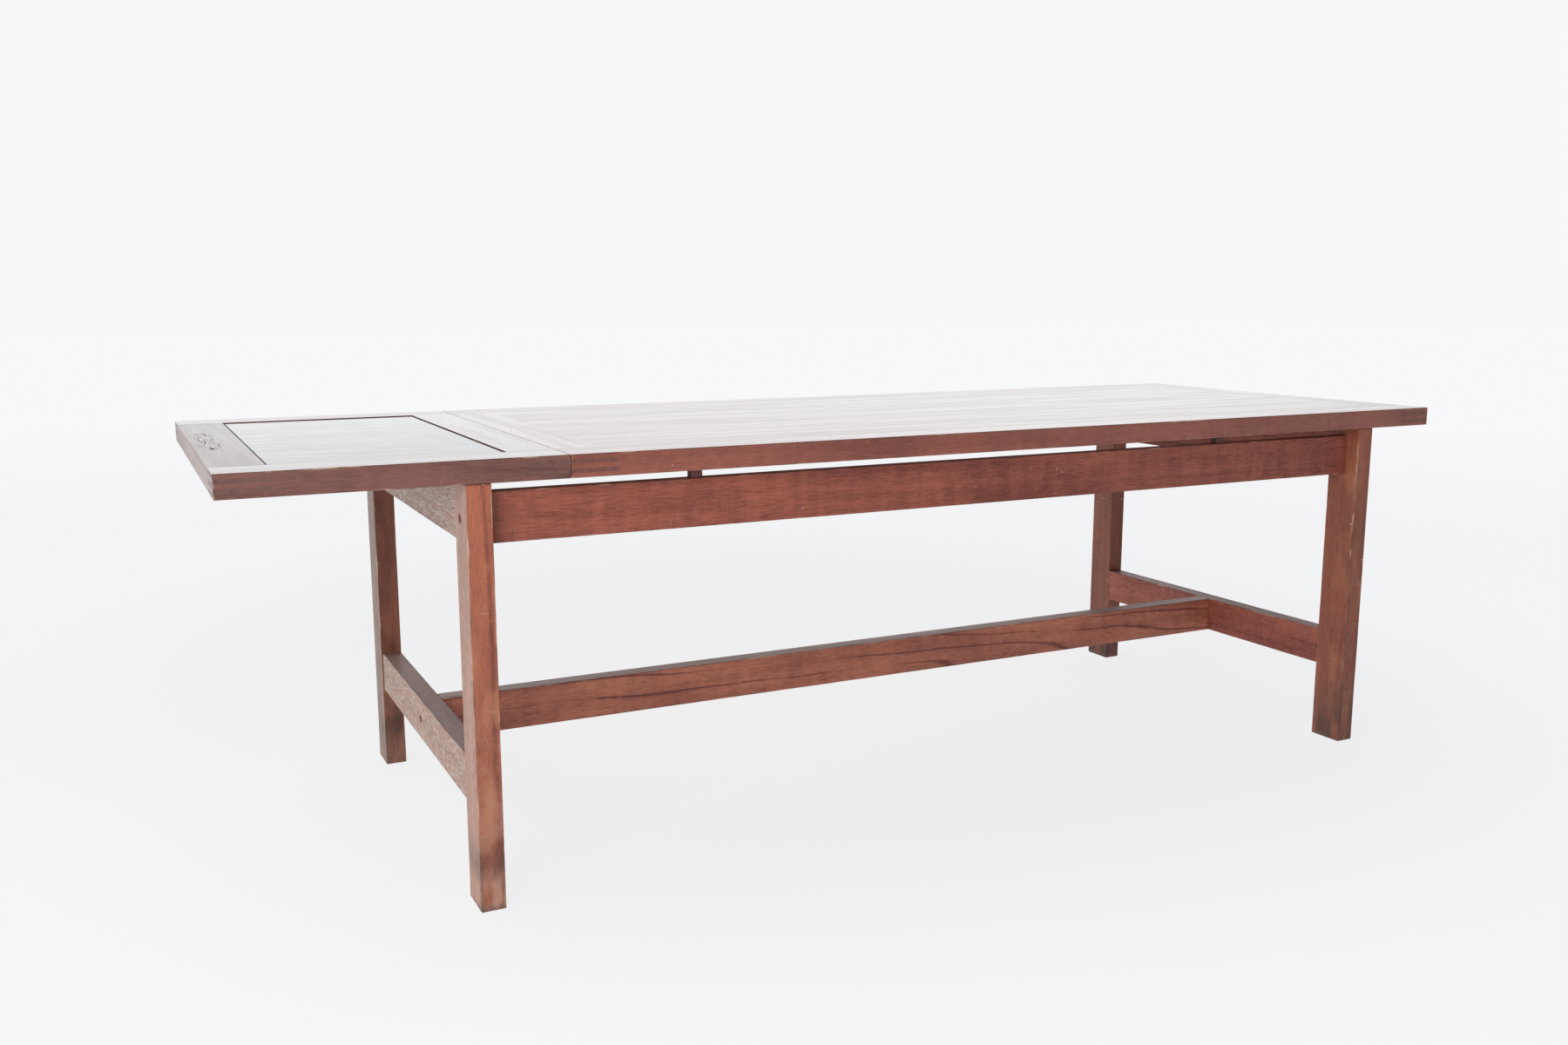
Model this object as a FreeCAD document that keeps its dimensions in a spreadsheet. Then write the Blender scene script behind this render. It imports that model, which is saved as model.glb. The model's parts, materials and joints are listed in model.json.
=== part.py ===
import FreeCAD, Part
import os
import re
import Sketcher

# Extendable dining table: a knock-down base, a main top that slides on it, and one leaf
# that is carried on two bearers (lopers) which run in the main top's runners.
#
# Frame, in millimetres: X along the table, Y across it, Z up. The origin is on the floor
# under the middle of the opened table. The leaf is at -X, the front is at -Y.

SIZES = {
    # whole table
    "table_height": (720, "floor to top surface"),
    "top_width": (862, "across the table"),
    "top_length": (1908, "main top without the leaf"),
    "leaf_length": (512, "leaf along the table"),
    "top_thickness": (37, "edge of top and leaf"),
    "seam_gap": (1, "between leaf and main top"),
    # place of the base under the top
    "end_margin": (5, "legs past each end of the closed top"),
    "end_overhang": (153, "main top past the right legs"),
    "side_overhang": (8, "top past the legs' front faces"),
    "glide_gap": (0.3, "between sliding faces"),
    # legs
    "leg_thick": (40, "along the table"),
    "leg_width": (73, "across the table"),
    "leg_gap": (1.2, "leg's top below the top board"),
    "leg_arris": (1.5, "rounding of the leg's edges"),
    # aprons
    "apron_height": (81, "long aprons"),
    "apron_thick": (25, "long aprons"),
    "apron_recess": (31, "long apron behind the leg's front face"),
    "apron_drop": (18, "open gap over the long aprons"),
    "end_apron_height": (99, "end aprons"),
    "end_apron_thick": (26, "end aprons"),
    "end_apron_recess": (7, "end apron behind the leg's outer face"),
    "board_arris": (1, "rounding of apron and stretcher edges"),
    # stretchers
    "stretcher_level": (160, "floor to their lower edge"),
    "stretcher_height": (76, "all three stretchers"),
    "stretcher_thick": (36, "all three stretchers"),
    "stretcher_recess": (3, "behind the leg's outer face"),
    # spacer blocks in the gap
    "spacer_length": (20, "along the table"),
    "spacer_width": (18, "across the apron"),
    "spacer_offset": (569, "from the middle of the base"),
    # mortise and tenon
    "tenon_length": (22, "into the leg"),
    "tenon_thick": (12, "along the table"),
    "tenon_shoulder": (10, "above and below the tenon"),
    "tenon_play": (1, "mortise deeper than the tenon"),
    # frames of top and leaf
    "rail_width": (78, "all rails of top and leaf"),
    "tongue_thick": (10, "tongue round a panel"),
    "tongue_length": (9, "tongue into the groove"),
    "tongue_play": (0.5, "groove deeper than the tongue"),
    "top_arris": (1.2, "rounding of the rails' edges"),
    "insert_depth": (1.5, "black sheet below the rails"),
    "insert_thick": (3, "black sheet"),
    "insert_play": (1.7, "round the black sheet"),
    # knock-down bolts, barrel nuts and dowels
    "bolt_diameter": (8, "shank"),
    "bolt_length": (80, "under the head"),
    "bolt_head": (13, "head diameter"),
    "bolt_head_height": (5, "head"),
    "bolt_socket": (5, "hexagon across flats"),
    "bolt_play": (1, "hole wider than the shank"),
    "counterbore": (15, "diameter"),
    "counterbore_depth": (12, "from the outer face"),
    "nut_diameter": (14, "barrel nut"),
    "nut_length": (18, "barrel nut"),
    "dowel_diameter": (8, "location dowel"),
    "dowel_length": (30, "location dowel"),
    "dowel_bite": (12, "dowel inside leg or end stretcher"),
    "dowel_offset": (24, "above and below the bolt"),
    # runners and stops under the main top
    "runner_spacing": (260, "between the runners' centre lines"),
    "runner_width": (30, "across the table"),
    "runner_height": (24, "runners and lopers, below the top"),
    "runner_inset": (20, "short of the main top's ends"),
    "notch_play": (0.8, "notch round a runner or loper"),
    "stop_length": (40, "along the runner"),
    "stop_height": (16, "below the runner"),
    # lopers under the leaf
    "loper_width": (30, "across the table"),
    "loper_inset": (100, "short of the leaf's outer end"),
    "loper_reach": (400, "under the main top"),
    "key_height": (8, "tongue of the loper"),
    "key_depth": (8, "tongue of the loper"),
    "key_play": (0.4, "groove of the runner round it"),
    # pegs in the seam
    "peg_diameter": (10, "seam peg"),
    "peg_length": (36, "half in each board"),
    "peg_play": (0.3, "hole round the peg's free half"),
    "peg_spacing": (270, "between pegs"),
    # screws
    "screw_diameter": (4, "shank"),
    "screw_head": (8, "head diameter"),
    "screw_head_height": (2.4, "countersunk head"),
    "screw_length": (40, "whole length"),
    "runner_margin": (120, "first screw from the runner's end"),
    "loper_margin": (60, "first screw from the loper's end"),
}

FORMULAS = {
    "under": "table_height - top_thickness",
    "total_length": "leaf_length + seam_gap + top_length",
    "top_right": "total_length / 2",
    "top_left": "top_right - top_length",
    "leaf_left": "-total_length / 2",
    "leaf_right": "leaf_left + leaf_length",
    "half_width": "top_width / 2",
    "finger": "top_thickness / 5",
    "tongue_low": "(top_thickness - tongue_thick) / 2",
    "base_length": "top_length + 2 * end_margin",
    "base_right": "top_right - end_overhang",
    "base_left": "base_right - base_length",
    "base_middle": "base_right - base_length / 2",
    "slide_travel": "top_right - top_length / 2 - base_middle",
    "leg_front": "half_width - side_overhang",
    "leg_height": "under - leg_gap",
    "inner_span": "2 * (leg_front - leg_width)",
    "apron_top": "under - apron_drop",
    "apron_low": "apron_top - apron_height",
    "apron_middle": "apron_top - apron_height / 2",
    "apron_length": "base_length - 2 * leg_thick",
    "apron_front": "leg_front - apron_recess",
    "end_apron_low": "under - end_apron_height",
    "end_apron_rise": "end_apron_height - glide_gap",
    "end_apron_face": "base_left + end_apron_recess + end_apron_thick",
    "stretcher_face": "base_left + stretcher_recess + stretcher_thick",
    "stretcher_length": "2 * (base_middle - stretcher_face)",
    "stretcher_middle": "stretcher_level + stretcher_height / 2",
    "tenon_rise": "stretcher_height - 2 * tenon_shoulder",
    "end_tenon_rise": "end_apron_rise - 2 * tenon_shoulder",
    "leg_nut_reach": "bolt_length - leg_thick + counterbore_depth - nut_diameter / 2",
    "stretcher_nut_reach": "bolt_length - stretcher_thick + counterbore_depth - nut_diameter / 2",
    "runner_left": "top_left + runner_inset",
    "runner_length": "top_length - 2 * runner_inset",
    "runner_outer": "(runner_spacing + runner_width) / 2",
    "runner_inner": "(runner_spacing - runner_width) / 2",
    "loper_left": "leaf_left + loper_inset",
    "loper_length": "leaf_length - loper_inset + seam_gap + loper_reach",
    "loper_inner": "runner_outer + key_play",
    "loper_outer": "loper_inner + loper_width",
    "key_low": "(runner_height - key_height) / 2",
}

RUNNER_SCREWS = 6
LOPER_SCREWS = 3
TOUCH = 0.01

doc = FreeCAD.newDocument("extendable_dining_table")
sheet = doc.addObject("Spreadsheet::Sheet", "sizes")
nodes = []


# ---- sheet and formulas -------------------------------------------------------------------

def fill_sheet():
    """Write each driving size as one row: name, value, meaning."""
    for row, (name, (value, meaning)) in enumerate(SIZES.items(), start=1):
        sheet.set(f"A{row}", name)
        sheet.set(f"B{row}", str(value))
        sheet.set(f"C{row}", meaning)
        sheet.setAlias(f"B{row}", name)
    doc.recompute()


def spell(formula):
    """Turn a formula in plain words into one that names the sheet's cells."""
    def word(match):
        name = match.group(0)
        if name in FORMULAS:
            return "(" + spell(FORMULAS[name]) + ")"
        if name in SIZES:
            return "sizes." + name
        raise KeyError(f"unknown size {name}")
    return re.sub(r"[a-z_]+", word, str(formula))


def bind(item, **formulas):
    """Tie properties of an object to formulas."""
    for name, formula in formulas.items():
        item.setExpression(name, spell(formula))


def place(item, x=0, y=0, z=0, turn=None):
    """Tie an object's Placement to three formulas; turn is (axis, degrees)."""
    if turn:
        axis, degrees = turn
        item.Placement = FreeCAD.Placement(FreeCAD.Vector(), FreeCAD.Rotation(axis, degrees))
    for letter, formula in zip("xyz", (x, y, z)):
        item.setExpression(f"Placement.Base.{letter}", spell(formula))
    return item


def node(item, label):
    """Name an object as a sub-part that is written to its own file."""
    item.Label = label
    nodes.append(item)
    return item


# ---- sketches and features of a body ------------------------------------------------------

def new_body(label):
    return doc.addObject("PartDesign::Body", label)


def new_sketch(body, name, role, offset):
    """Sketch parallel to one of the body's own origin planes."""
    sketch = body.newObject("Sketcher::SketchObject", name)
    plane = next(item for item in body.Origin.OriginFeatures if item.Role == role)
    sketch.AttachmentSupport = [(plane, "")]
    sketch.MapMode = "FlatFace"
    sketch.setExpression("AttachmentOffset.Base.z", spell(offset))
    return sketch


def fix(sketch, name, *constraint):
    """Add a named dimension whose value is a formula, the last item."""
    *terms, formula = constraint
    index = sketch.addConstraint(Sketcher.Constraint(*terms, 1.0))
    sketch.renameConstraint(index, name)
    sketch.setExpression(f"Constraints.{name}", spell(formula))


def rectangle(body, name, x, y, z, dx, dy):
    """Level rectangle from corner (x, y) at height z."""
    sketch = new_sketch(body, name, "XY_Plane", z)
    corners = [FreeCAD.Vector(*c, 0) for c in ((0, 0), (1, 0), (1, 1), (0, 1))]
    for i in range(4):
        sketch.addGeometry(Part.LineSegment(corners[i], corners[(i + 1) % 4]), False)
    for i in range(4):
        sketch.addConstraint(Sketcher.Constraint("Coincident", i, 2, (i + 1) % 4, 1))
    for i, direction in enumerate(("Horizontal", "Vertical") * 2):
        sketch.addConstraint(Sketcher.Constraint(direction, i))
    fix(sketch, "from_left", "DistanceX", -1, 1, 0, 1, x)
    fix(sketch, "from_front", "DistanceY", -1, 1, 0, 1, y)
    fix(sketch, "length", "DistanceX", 0, 1, 0, 2, dx)
    fix(sketch, "depth", "DistanceY", 1, 1, 1, 2, dy)
    return sketch


def circle(body, name, axis, start, across, up, diameter):
    """Circle square to an axis; (across, up) are the two other coordinates in X, Y, Z order."""
    role, offset = {"X": ("YZ_Plane", start), "Y": ("XZ_Plane", f"-({start})"),
                    "Z": ("XY_Plane", start)}[axis]
    sketch = new_sketch(body, name, role, offset)
    sketch.addGeometry(Part.Circle(FreeCAD.Vector(1, 1, 0), FreeCAD.Vector(0, 0, 1), 2), False)
    fix(sketch, "across", "DistanceX", -1, 1, 0, 3, across)
    fix(sketch, "up", "DistanceY", -1, 1, 0, 3, up)
    fix(sketch, "diameter", "Diameter", 0, diameter)
    return sketch


def pad_box(body, name, x, y, z, dx, dy, dz):
    """Block from its low corner and its three sizes."""
    pad = body.newObject("PartDesign::Pad", name)
    pad.Profile = rectangle(body, name + "_outline", x, y, z, dx, dy)
    bind(pad, Length=dz)
    return pad


def cut_box(body, name, x, y, z, dx, dy, dz):
    """Rectangular recess from its low corner and its three sizes."""
    pocket = body.newObject("PartDesign::Pocket", name)
    pocket.Profile = rectangle(body, name + "_outline", x, y, z, dx, dy)
    pocket.Reversed = True
    bind(pocket, Length=dz)
    return pocket


def drill(body, name, axis, start, across, up, diameter, depth):
    """Round hole that starts at a level on an axis and runs up that axis."""
    pocket = body.newObject("PartDesign::Pocket", name)
    pocket.Profile = circle(body, name + "_outline", axis, start, across, up, diameter)
    pocket.Reversed = axis != "Y"
    bind(pocket, Length=depth)
    return pocket


def round_edges(body, radius, wanted, directions="xyz"):
    """Fillet the straight edges that run along the directions and whose ends pass the test."""
    doc.recompute()
    names = []
    for i, edge in enumerate(body.Shape.Edges, start=1):
        if len(edge.Vertexes) != 2:
            continue
        run = edge.Vertexes[1].Point - edge.Vertexes[0].Point
        straight = [d for d in directions if abs(getattr(run, d)) > run.Length - TOUCH]
        if straight and all(wanted(v.Point - body.Placement.Base) for v in edge.Vertexes):
            names.append(f"Edge{i}")
    fillet = body.newObject("PartDesign::Fillet", body.Name + "_rounding")
    fillet.Base = (fillet.BaseFeature, names)
    bind(fillet, Radius=radius)
    return fillet


def size(formula):
    """Value of a formula now, from the sheet, for picking edges only."""
    probe = doc.getObject("probe") or doc.addObject("Part::Box", "probe")
    bind(probe, Length=formula)
    probe.recompute()
    return probe.Length.Value


# ---- copies and groups --------------------------------------------------------------------

def mirrored(source, label, normal, x=0):
    """Mirror image of an object in a plane square to X (through x) or to Y (through 0)."""
    image = doc.addObject("Part::Mirroring", label)
    image.Source = source
    image.Normal = FreeCAD.Vector(*normal)
    image.setExpression("Base.x", spell(x))
    return image


ACROSS = (0, 1, 0)
ALONG = (1, 0, 0)
POINT_RIGHT = (FreeCAD.Vector(0, 1, 0), 90)
POINT_BACK = (FreeCAD.Vector(1, 0, 0), -90)


def group(label, members):
    """Several separate solids kept as one object."""
    item = doc.addObject("Part::Compound", label)
    item.Links = members
    return item


def four_ways(source, label):
    """The source, its image at the back, and both again at the other end of the base."""
    back = mirrored(source, label + "_b", ACROSS)
    right = mirrored(source, label + "_r", ALONG, "base_middle")
    return [source, back, right, mirrored(right, label + "_rb", ACROSS)]


def cylinder(name, diameter, height):
    item = doc.addObject("Part::Cylinder", name)
    bind(item, Radius=f"({diameter}) / 2", Height=height)
    return item


# ---- base ---------------------------------------------------------------------------------

def make_leg():
    """Leg with two mortises, a counterbored bolt hole and two dowel holes."""
    leg = new_body("leg")
    pad_box(leg, "blank", 0, 0, 0, "leg_thick", "leg_width", "leg_height")
    inner = "leg_width - tenon_length - tenon_play"
    deep = "tenon_length + tenon_play"
    cut_box(leg, "apron_mortise", "end_apron_recess + (end_apron_thick - tenon_thick) / 2", inner,
            "end_apron_low + tenon_shoulder", "tenon_thick", deep, "end_tenon_rise")
    cut_box(leg, "stretcher_mortise", "stretcher_recess + (stretcher_thick - tenon_thick) / 2",
            inner, "stretcher_level + tenon_shoulder", "tenon_thick", deep, "tenon_rise")
    bolt_y = "apron_recess + apron_thick / 2"
    drill(leg, "bolt_hole", "X", 0, bolt_y, "apron_middle", "bolt_diameter + bolt_play",
          "leg_thick")
    drill(leg, "bolt_counterbore", "X", 0, bolt_y, "apron_middle", "counterbore",
          "counterbore_depth")
    for name, sign in (("low", "-"), ("high", "+")):
        drill(leg, f"dowel_hole_{name}", "X", "leg_thick - dowel_bite", bolt_y,
              f"apron_middle {sign} dowel_offset", "dowel_diameter", "dowel_bite")
    thick, width = size("leg_thick"), size("leg_width")

    def on_corner(p):
        return min(p.x, thick - p.x) < TOUCH and min(p.y, width - p.y) < TOUCH
    round_edges(leg, "leg_arris", on_corner)
    place(leg, "base_left", "-leg_front", 0)
    return leg


def make_end_frame_board(label, recess, thick, low, rise):
    """Board between two legs with a stub tenon at each end; its origin is its middle."""
    board = new_body(label)
    pad_box(board, "blank", f"-({thick}) / 2", "-inner_span / 2", 0, thick, "inner_span", rise)
    pad_box(board, "tenons", "-tenon_thick / 2", "-inner_span / 2 - tenon_length",
            "tenon_shoulder", "tenon_thick", "inner_span + 2 * tenon_length",
            f"({rise}) - 2 * tenon_shoulder")
    place(board, f"base_left + {recess} + {thick} / 2", 0, low)
    return board


def cut_notches(board, name, inner, outer, depth):
    """Open notches in the board's top edge, one on each side of the middle."""
    wide = f"({outer}) - ({inner})"
    for side, start in (("front", f"-({outer})"), ("back", inner)):
        cut_box(board, f"{name}_{side}", "-end_apron_thick / 2", start,
                f"end_apron_rise + glide_gap - ({depth})", "end_apron_thick", wide, depth)


def round_board(board, thick, rise):
    """Soften the long edges of a board whose middle is at its origin."""
    half, high = size(thick) / 2, size(rise)

    def on_long_edge(p):
        return abs(abs(p.x) - half) < TOUCH and min(p.z, high - p.z) < TOUCH
    round_edges(board, "board_arris", on_long_edge, "y")


def make_end_apron(label):
    apron = make_end_frame_board(label, "end_apron_recess", "end_apron_thick", "end_apron_low",
                                 "end_apron_rise")
    round_board(apron, "end_apron_thick", "end_apron_rise")
    return apron


def make_end_stretcher():
    """End stretcher with the bolt hole and dowel holes for the long stretcher."""
    board = make_end_frame_board("end_stretcher", "stretcher_recess", "stretcher_thick",
                                 "stretcher_level", "stretcher_height")
    face = "-stretcher_thick / 2"
    middle = "stretcher_height / 2"
    drill(board, "bolt_hole", "X", face, 0, middle, "bolt_diameter + bolt_play",
          "stretcher_thick")
    drill(board, "bolt_counterbore", "X", face, 0, middle, "counterbore", "counterbore_depth")
    for name, sign in (("low", "-"), ("high", "+")):
        drill(board, f"dowel_hole_{name}", "X", "stretcher_thick / 2 - dowel_bite", 0,
              f"{middle} {sign} dowel_offset", "dowel_diameter", "dowel_bite")
    round_board(board, "stretcher_thick", "stretcher_height")
    return board


def make_bolted_board(label, long, thick, rise, nut_reach, x, y, z):
    """Board bolted at both ends: bolt holes, dowel holes, and nut holes from its back face."""
    board = new_body(label)
    pad_box(board, "blank", 0, 0, 0, long, thick, rise)
    middle, height = f"({thick}) / 2", f"({rise}) / 2"
    bolt_depth = f"({nut_reach}) + nut_diameter"
    dowel_depth = "dowel_length - dowel_bite"
    for end in ("left", "right"):
        def from_end(depth):
            return 0 if end == "left" else f"({long}) - ({depth})"
        drill(board, f"bolt_hole_{end}", "X", from_end(bolt_depth), middle, height,
              "bolt_diameter + bolt_play", bolt_depth)
        nut_x = nut_reach if end == "left" else f"({long}) - ({nut_reach})"
        drill(board, f"nut_hole_{end}", "Y", f"{middle} - nut_length / 2", nut_x, height,
              "nut_diameter", f"{middle} + nut_length / 2")
        for name, sign in (("low", "-"), ("high", "+")):
            drill(board, f"dowel_hole_{name}_{end}", "X", from_end(dowel_depth), middle,
                  f"{height} {sign} dowel_offset", "dowel_diameter", dowel_depth)
    place(board, x, y, z)
    return board


def round_long_board(board, thick, rise):
    """Soften the long edges of a board whose low front corner is at its origin."""
    deep, high = size(thick), size(rise)

    def on_long_edge(p):
        return min(p.y, deep - p.y) < TOUCH and min(p.z, high - p.z) < TOUCH
    round_edges(board, "board_arris", on_long_edge, "x")


def make_bolt(name):
    """Bolt along +Z: head with a hexagon socket from 0, then the shank."""
    head = cylinder(name + "_head", "bolt_head", "bolt_head_height")
    shank = cylinder(name + "_shank", "bolt_diameter", "bolt_length + bolt_head_height")
    solid = doc.addObject("Part::Fuse", name + "_solid")
    solid.Base, solid.Tool = head, shank
    socket = doc.addObject("Part::Prism", name + "_socket")
    socket.Polygon = 6
    bind(socket, Circumradius="bolt_socket / 2 * 1.1547", Height="bolt_head_height * 0.6")
    bolt = doc.addObject("Part::Cut", name)
    bolt.Base, bolt.Tool = solid, socket
    return bolt


def make_nut(name, x, y, z):
    """Barrel nut along +Y whose cross hole takes a bolt along X."""
    barrel = place(cylinder(name + "_barrel", "nut_diameter", "nut_length"),
                   x, f"{y} - nut_length / 2", z, POINT_BACK)
    hole = place(cylinder(name + "_hole", "bolt_diameter", "2 * nut_diameter"),
                 f"{x} - nut_diameter", y, z, POINT_RIGHT)
    nut = doc.addObject("Part::Cut", name)
    nut.Base, nut.Tool = barrel, hole
    return nut


def make_dowel_pair(name, x, y, middle):
    """Two dowels along X, below and above a bolt."""
    pair = []
    for level, sign in (("low", "-"), ("high", "+")):
        dowel = cylinder(f"{name}_{level}", "dowel_diameter", "dowel_length")
        pair.append(place(dowel, x, y, f"{middle} {sign} dowel_offset", POINT_RIGHT))
    return pair


def make_screw(name, length, points_down=False):
    """Countersunk screw along +Z, head at 0; turned over when it is driven from above."""
    head = doc.addObject("Part::Cone", name + "_head")
    bind(head, Radius1="screw_head / 2", Radius2="screw_diameter / 2", Height="screw_head_height")
    shank = cylinder(name + "_shank", "screw_diameter", length)
    screw = doc.addObject("Part::Fuse", name)
    screw.Base, screw.Tool = head, shank
    if points_down:
        screw.Placement = FreeCAD.Placement(FreeCAD.Vector(),
                                            FreeCAD.Rotation(FreeCAD.Vector(1, 0, 0), 180))
    return screw


def make_base():
    """Two end frames, two long aprons, the long stretcher, spacers and fixings."""
    corners = ("leg_front_left", "leg_back_left", "leg_front_right", "leg_back_right")
    for leg, label in zip(four_ways(make_leg(), "leg"), corners):
        node(leg, label)

    left = make_end_apron("end_apron_left_board")
    cut_notches(left, "notch", "runner_inner - notch_play", "loper_outer + notch_play",
                "runner_height + notch_play")
    right = make_end_apron("end_apron_right_board")
    cut_notches(right, "notch", "runner_inner - notch_play", "runner_outer + notch_play",
                "runner_height + notch_play")
    right.setExpression("Placement.Base.x",
                        spell("base_right - end_apron_recess - end_apron_thick / 2"))
    node(left, "end_apron_left")
    node(right, "end_apron_right")

    apron = make_bolted_board("long_apron", "apron_length", "apron_thick", "apron_height",
                              "leg_nut_reach", "base_left + leg_thick", "-apron_front",
                              "apron_low")
    for sign in ("-", "+"):
        word = {"-": "left", "+": "right"}[sign]
        drill(apron, f"spacer_screw_{word}", "Z", "apron_height + apron_drop - screw_length",
              f"apron_length / 2 {sign} spacer_offset", "apron_thick / 2", "screw_diameter",
              "screw_length")
    round_long_board(apron, "apron_thick", "apron_height")
    node(apron, "long_apron_front")
    node(mirrored(apron, "apron_b", ACROSS), "long_apron_back")

    board = make_end_stretcher()
    node(board, "end_stretcher_left")
    node(mirrored(board, "stretcher_r", ALONG, "base_middle"), "end_stretcher_right")
    long = make_bolted_board("long_stretcher_board", "stretcher_length", "stretcher_thick",
                             "stretcher_height", "stretcher_nut_reach", "stretcher_face",
                             "-stretcher_thick / 2", "stretcher_level")
    round_long_board(long, "stretcher_thick", "stretcher_height")
    node(long, "long_stretcher")

    make_spacers()
    make_base_fixings()


def make_spacers():
    """Four blocks that stand on the long aprons and reach the sliding top."""
    spacer = new_body("spacer")
    high = "apron_drop - glide_gap"
    pad_box(spacer, "block", "-spacer_length / 2", "-spacer_width / 2", 0, "spacer_length",
            "spacer_width", high)
    drill(spacer, "screw_hole", "Z", 0, 0, 0, "screw_diameter", high)
    drill(spacer, "screw_head_hole", "Z", f"{high} - screw_head_height", 0, 0, "screw_head",
          "screw_head_height")
    place(spacer, "base_middle - spacer_offset", "-apron_front + apron_thick / 2", "apron_top")
    labels = ("spacer_front_left", "spacer_back_left", "spacer_front_right", "spacer_back_right")
    for item, label in zip(four_ways(spacer, "spacer"), labels):
        node(item, label)


def make_base_fixings():
    """Bolts, barrel nuts, dowels and spacer screws."""
    head_start = "counterbore_depth - bolt_head_height"
    bolt_y = "-apron_front + apron_thick / 2"
    bolt = place(make_bolt("leg_bolt"), f"base_left + {head_start}", bolt_y, "apron_middle",
                 POINT_RIGHT)
    node(group("bolts", four_ways(bolt, "leg_bolt")), "leg_bolts")
    nut = make_nut("apron_nut", "base_left + leg_thick + leg_nut_reach", bolt_y, "apron_middle")
    node(group("nuts", four_ways(nut, "apron_nut")), "apron_nuts")
    pair = make_dowel_pair("apron_dowel", "base_left + leg_thick - dowel_bite", bolt_y,
                           "apron_middle")
    dowels = [copy for dowel in pair for copy in four_ways(dowel, dowel.Name)]
    node(group("dowels", dowels), "apron_dowels")

    bolt = place(make_bolt("stretcher_bolt"), f"base_left + stretcher_recess + {head_start}", 0,
                 "stretcher_middle", POINT_RIGHT)
    both = [bolt, mirrored(bolt, "stretcher_bolt_r", ALONG, "base_middle")]
    node(group("stretcher_bolt_pair", both), "stretcher_bolts")
    nut = make_nut("stretcher_nut", "stretcher_face + stretcher_nut_reach", 0,
                   "stretcher_middle")
    both = [nut, mirrored(nut, "stretcher_nut_r", ALONG, "base_middle")]
    node(group("stretcher_nut_pair", both), "stretcher_nuts")
    pair = make_dowel_pair("stretcher_dowel", "stretcher_face - dowel_bite", 0,
                           "stretcher_middle")
    dowels = pair + [mirrored(d, d.Name + "_r", ALONG, "base_middle") for d in pair]
    node(group("stretcher_dowel_set", dowels), "stretcher_dowels")

    screw = make_screw("spacer_screw", "screw_length - glide_gap", points_down=True)
    place(screw, "base_middle - spacer_offset", bolt_y, "under - glide_gap")
    node(group("spacer_screw_set", four_ways(screw, "spacer_screw")), "spacer_screws")


# ---- top and leaf -------------------------------------------------------------------------

def make_long_rail(label, left, long):
    """Front rail with finger slots at both ends and a groove for the panel."""
    rail = new_body(label)
    pad_box(rail, "blank", 0, 0, 0, long, "rail_width", "top_thickness")
    for layer in (1, 3):
        for end, x in (("left", 0), ("right", f"({long}) - rail_width")):
            cut_box(rail, f"slot_{end}_{layer}", x, 0, f"{layer} * finger", "rail_width",
                    "rail_width", "finger")
    cut_box(rail, "groove", "rail_width", "rail_width - tongue_length - tongue_play",
            "tongue_low", f"({long}) - 2 * rail_width", "tongue_length + tongue_play",
            "tongue_thick")
    length, high = size(long), size("top_thickness")

    def on_rim(p):
        return min(p.x, p.y, length - p.x) < TOUCH and min(p.z, high - p.z) < TOUCH
    round_edges(rail, "top_arris", on_rim)
    place(rail, left, "-half_width", "under")
    return rail


def make_cross_rail(label, left, groove_at_left):
    """Cross rail with two fingers at each end that pass through the long rails."""
    rail = new_body(label)
    pad_box(rail, "blank", 0, "rail_width", 0, "rail_width", "top_width - 2 * rail_width",
            "top_thickness")
    for layer in (1, 3):
        pad_box(rail, f"fingers_{layer}", 0, 0, f"{layer} * finger", "rail_width", "top_width",
                "finger")
    deep = "tongue_length + tongue_play"
    cut_box(rail, "groove", 0 if groove_at_left else f"rail_width - ({deep})", "rail_width",
            "tongue_low", deep, "top_width - 2 * rail_width", "tongue_thick")
    high = size("top_thickness")
    rim = size("rail_width") if groove_at_left else 0

    def on_rim(p):
        return abs(p.x - rim) < TOUCH and min(p.z, high - p.z) < TOUCH
    round_edges(rail, "top_arris", on_rim)
    place(rail, left, "-half_width", "under")
    return rail


def make_panel(label, left, long, rise):
    """Panel with a tongue on each side, notched at the corners; its origin is a rail's corner."""
    panel = new_body(label)
    wide, deep = f"({long}) - 2 * rail_width", "top_width - 2 * rail_width"
    pad_box(panel, "blank", "rail_width", "rail_width", 0, wide, deep, rise)
    edge = "rail_width - tongue_length"
    pad_box(panel, "end_tongues", edge, "rail_width", "tongue_low",
            f"{wide} + 2 * tongue_length", deep, "tongue_thick")
    pad_box(panel, "side_tongues", "rail_width", edge, "tongue_low", wide,
            f"{deep} + 2 * tongue_length", "tongue_thick")
    place(panel, left, "-half_width", "under")
    return panel


def drill_peg_holes(rail, start, diameter, depth):
    """Three peg holes along X in a cross rail."""
    for i in (-1, 0, 1):
        drill(rail, f"peg_hole_{i + 2}", "X", start, f"half_width + {i} * peg_spacing",
              "top_thickness / 2", diameter, depth)


def screw_places(count, first, last):
    """Evenly spaced places along a runner or loper, from the first to the last."""
    return [f"{first} + {i} * (({last}) - ({first})) / {count - 1}" for i in range(count)]


def drill_screw_hole(body, name, x, y, height):
    """Screw hole from the underside of a bar or block, with room for the head."""
    drill(body, name, "Z", 0, x, y, "screw_diameter", height)
    drill(body, name + "_head", "Z", 0, x, y, "screw_head", "screw_head_height")


def make_screw_row(name, xs, left, y, level, length):
    """Screws driven upwards in a row at the front, and their images at the back."""
    row = []
    for i, x in enumerate(xs):
        screw = place(make_screw(f"{name}_{i}", length), f"{left} + {x}", y, level)
        row += [screw, mirrored(screw, f"{name}_{i}_b", ACROSS)]
    return row


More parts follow.
